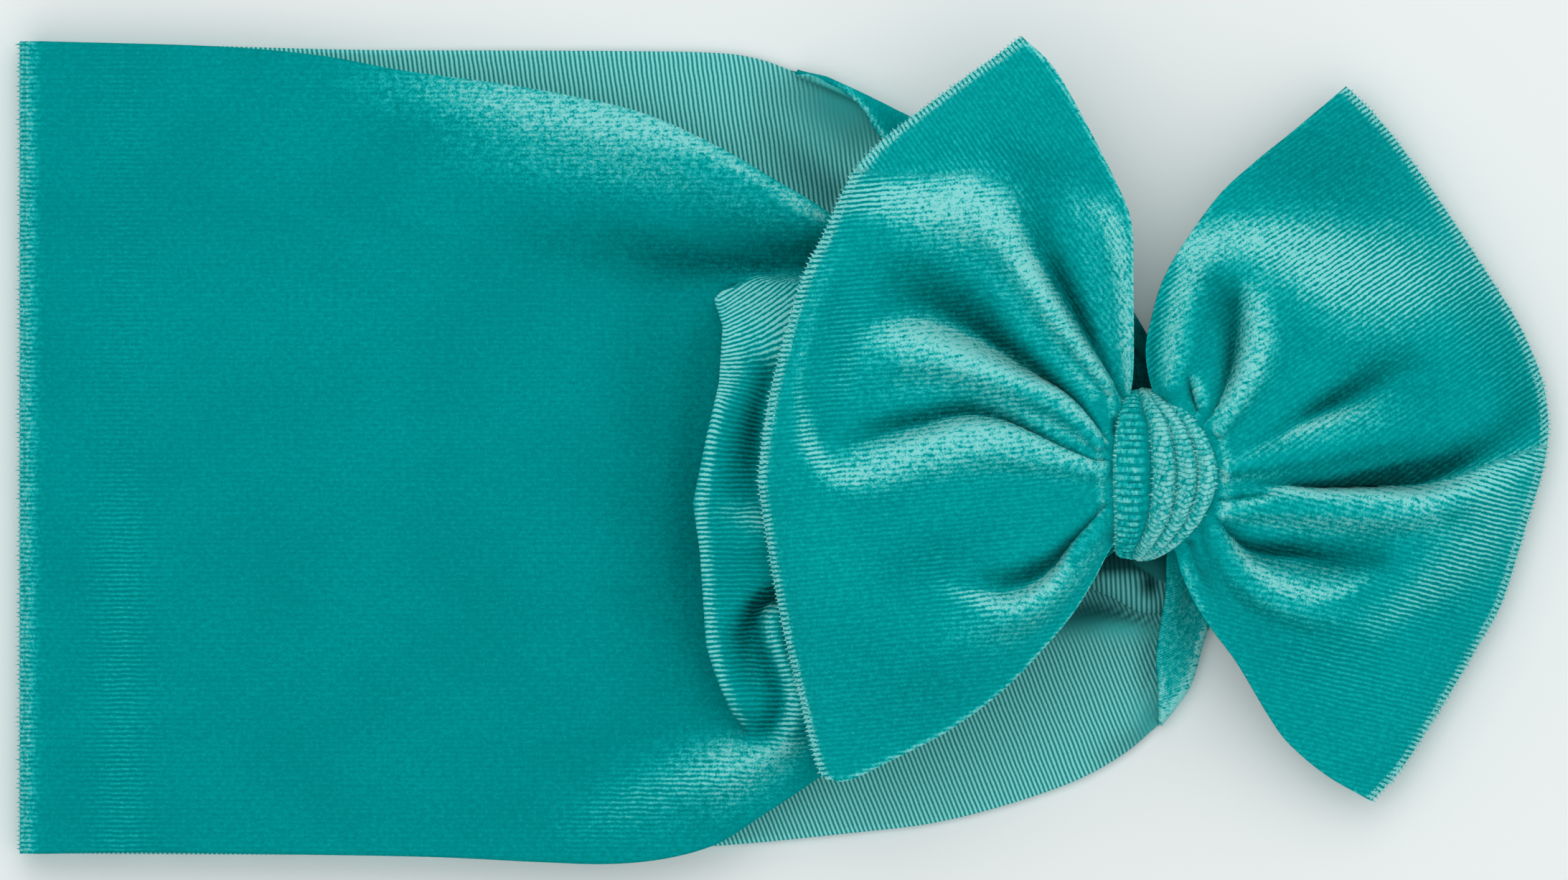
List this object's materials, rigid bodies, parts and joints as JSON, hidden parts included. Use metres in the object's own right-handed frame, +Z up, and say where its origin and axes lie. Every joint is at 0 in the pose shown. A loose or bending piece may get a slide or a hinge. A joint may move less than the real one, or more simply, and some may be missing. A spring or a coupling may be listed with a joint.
{
  "type": "knotted bow headband",
  "caption": "Wide stretch-velvet head wrap with a two-loop bow, gathered and held at one end by a pleated knot of the same cloth, laid flat.",
  "frame": {"origin": "centre of the whole part's footprint, on the table", "axes": "+X runs along the flat band from the nape fold to the bow, +Y across the band, +Z up from the table"},
  "size_m": [0.2425, 0.1316, 0.0276],
  "materials": {
    "velvet_pile": "short velvet pile with a pale sheen",
    "velvet_reverse": "fine ribbed knit, matte",
    "thread": "matte sewing thread"
  },
  "bodies": {
    "band": {"band_front_layer": "velvet_pile", "band_back_layer": "velvet_reverse", "band_nape_fold": "velvet_pile", "band_turned_end": "velvet_pile", "band_waist": "velvet_pile", "band_gather_thread": "thread", "band_seam_stitches": "thread", "bow_waist": "velvet_pile", "bow_gather_thread": "thread", "knot_wrap": "velvet_pile", "knot_closing_stitches": "thread"},
    "left_loop": {"bow_left_loop": "velvet_pile"},
    "right_loop": {"bow_right_loop": "velvet_pile"}
  },
  "joints": [
    {"name": "left_loop_lift", "type": "hinge", "parent": "band", "child": "left_loop", "pos_m": [0.0517, -0.0041, 0.024], "axis": [0, 1, 0], "range_deg": [0, 50]},
    {"name": "right_loop_lift", "type": "hinge", "parent": "band", "child": "right_loop", "pos_m": [0.0682, -0.0041, 0.024], "axis": [0, -1, 0], "range_deg": [0, 50]}
  ]
}
